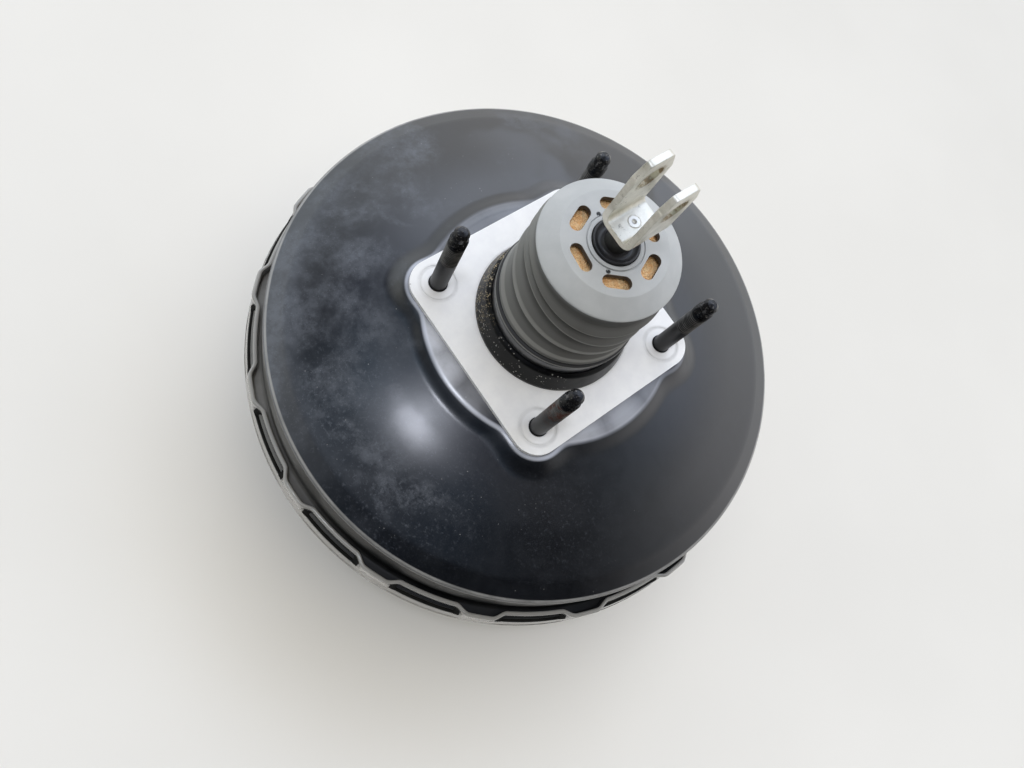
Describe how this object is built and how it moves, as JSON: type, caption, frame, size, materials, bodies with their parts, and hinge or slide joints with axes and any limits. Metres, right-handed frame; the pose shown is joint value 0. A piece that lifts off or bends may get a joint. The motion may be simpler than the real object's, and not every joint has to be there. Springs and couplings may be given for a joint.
{
  "type": "vacuum brake booster",
  "caption": "Round vacuum brake booster with domed housing, square mounting plate with studs, rubber boot, fork-ended input rod and lanced rim",
  "frame": {"origin": "centre of the firewall mounting face, on the axis of the input rod", "axes": "+Z along the input rod towards the pedal; +X and +Y along the sides of the stud rectangle"},
  "size_m": [0.2716, 0.2716, 0.2662],
  "materials": {
    "black_paint": "semi-gloss black stove paint, dusty",
    "front_paint": "semi-gloss black stove paint",
    "bare_plate": "matt pale zinc-plated steel",
    "black_stud": "black phosphated steel, slight rust",
    "collar_rubber": "black, sandy",
    "boot_rubber": "grey, satin",
    "bush_rubber": "black, satin",
    "filter_foam": "orange-tan open-cell foam",
    "felt": "grey felt",
    "zinc_clevis": "zinc plated, slightly yellowed",
    "rod_steel": "dark phosphated steel",
    "hub_plastic": "black glass-filled plastic",
    "nylon": "natural nylon",
    "black_rubber": "black rubber",
    "steel": "plain steel",
    "spring_steel": "oiled spring steel",
    "zinc_stud": "zinc plated",
    "valve_plastic": "black plastic"
  },
  "bodies": {
    "housing": {"rear_shell": "black_paint", "front_shell": "front_paint", "mounting_plate": "bare_plate", "firewall_studs": "black_stud", "firewall_collar": "collar_rubber", "neck_bearing": "nylon", "neck_seal": "black_rubber", "front_reinforcement": "steel", "cylinder_studs": "zinc_stud", "cylinder_seal": "black_rubber", "diaphragm": "black_rubber", "return_spring": "spring_steel", "dust_boot": "boot_rubber", "valve_grommet": "black_rubber", "check_valve_body": "valve_plastic", "check_valve_elbow": "valve_plastic", "check_valve_spring": "spring_steel"},
    "power_piston": {"valve_body": "hub_plastic", "stop_key": "steel", "diaphragm_plate": "steel", "reaction_disc": "black_rubber", "output_rod": "steel", "output_screw": "zinc_stud", "output_retainer": "steel", "poppet": "black_rubber", "poppet_retainer": "steel", "poppet_spring": "spring_steel", "rod_return_spring": "spring_steel", "air_filter": "filter_foam", "silencer_felt": "felt"},
    "input": {"air_valve_plunger": "steel", "input_rod": "rod_steel", "rod_spring_seat": "steel", "clevis": "zinc_clevis", "rod_bush": "bush_rubber"},
    "check_poppet": {"check_valve_poppet": "black_rubber"}
  },
  "joints": [
    {"name": "piston_stroke", "type": "slide", "parent": "housing", "child": "power_piston", "axis": [0, 0, -1], "range_m": [0, 0.032], "stiffness_N_per_m": 4000, "springref_m": -0.04, "deforming": ["return_spring", "diaphragm", "dust_boot"]},
    {"name": "rod_stroke", "type": "slide", "parent": "power_piston", "child": "input", "axis": [0, 0, -1], "range_m": [0, 0.0018], "stiffness_N_per_m": 3000, "springref_m": -0.015, "deforming": ["rod_return_spring"]},
    {"name": "check_valve_lift", "type": "slide", "parent": "housing", "child": "check_poppet", "axis": [0, 0, -1], "range_m": [0, 0.002], "stiffness_N_per_m": 60, "springref_m": -0.004, "deforming": ["check_valve_spring"]}
  ]
}
